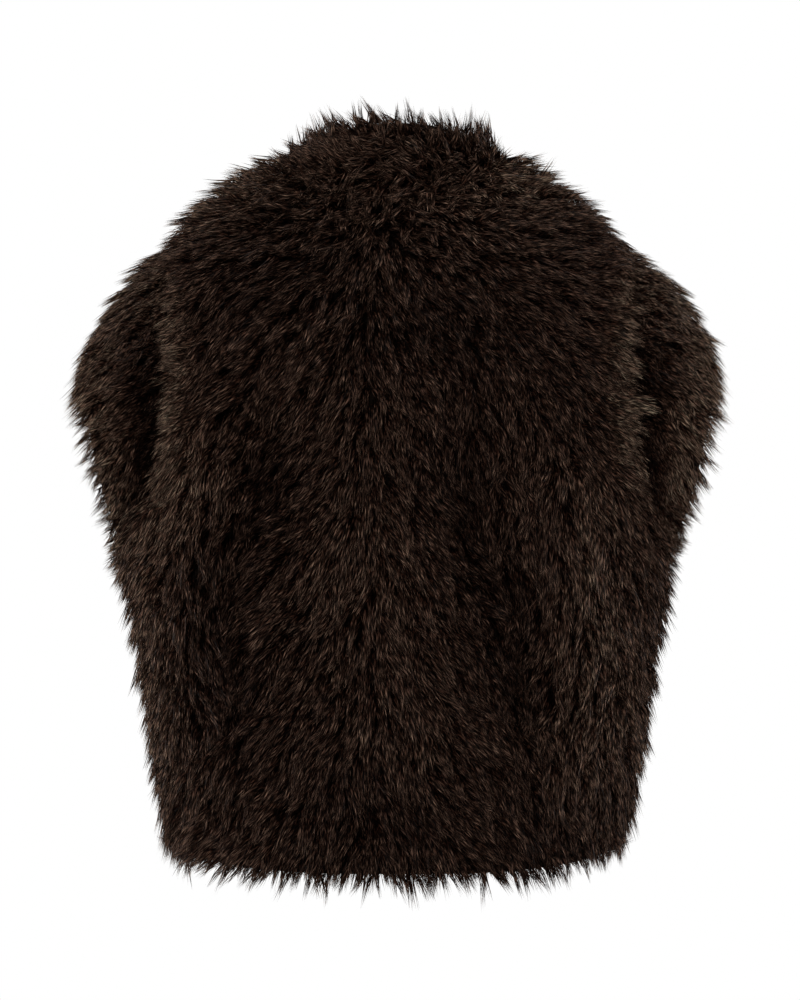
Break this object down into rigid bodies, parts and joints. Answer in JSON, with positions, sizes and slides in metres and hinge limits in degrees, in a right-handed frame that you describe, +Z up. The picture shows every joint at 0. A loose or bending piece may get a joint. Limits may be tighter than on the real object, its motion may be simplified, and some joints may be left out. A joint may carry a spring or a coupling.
{
  "type": "vest",
  "caption": "Hip-length shaggy pile vest in its worn form, with set-in cap sleeves, a stand collar and an edge-to-edge front, open at the neck, hem and sleeves.",
  "frame": {"origin": "on the centre line, level with the points where the shoulder seams meet the neck, where a wearer's shoulders carry the vest", "axes": "+Z up along the wearer's spine, -Y the way the wearer faces, +X to the wearer's left"},
  "size_m": [0.5838, 0.314, 0.665],
  "materials": {
    "pile": "long shaggy pile, dark brown"
  },
  "bodies": {
    "root": {"back": "pile", "front_left": "pile", "front_right": "pile", "sleeve_left": "pile", "sleeve_right": "pile", "collar": "pile"}
  },
  "joints": []
}
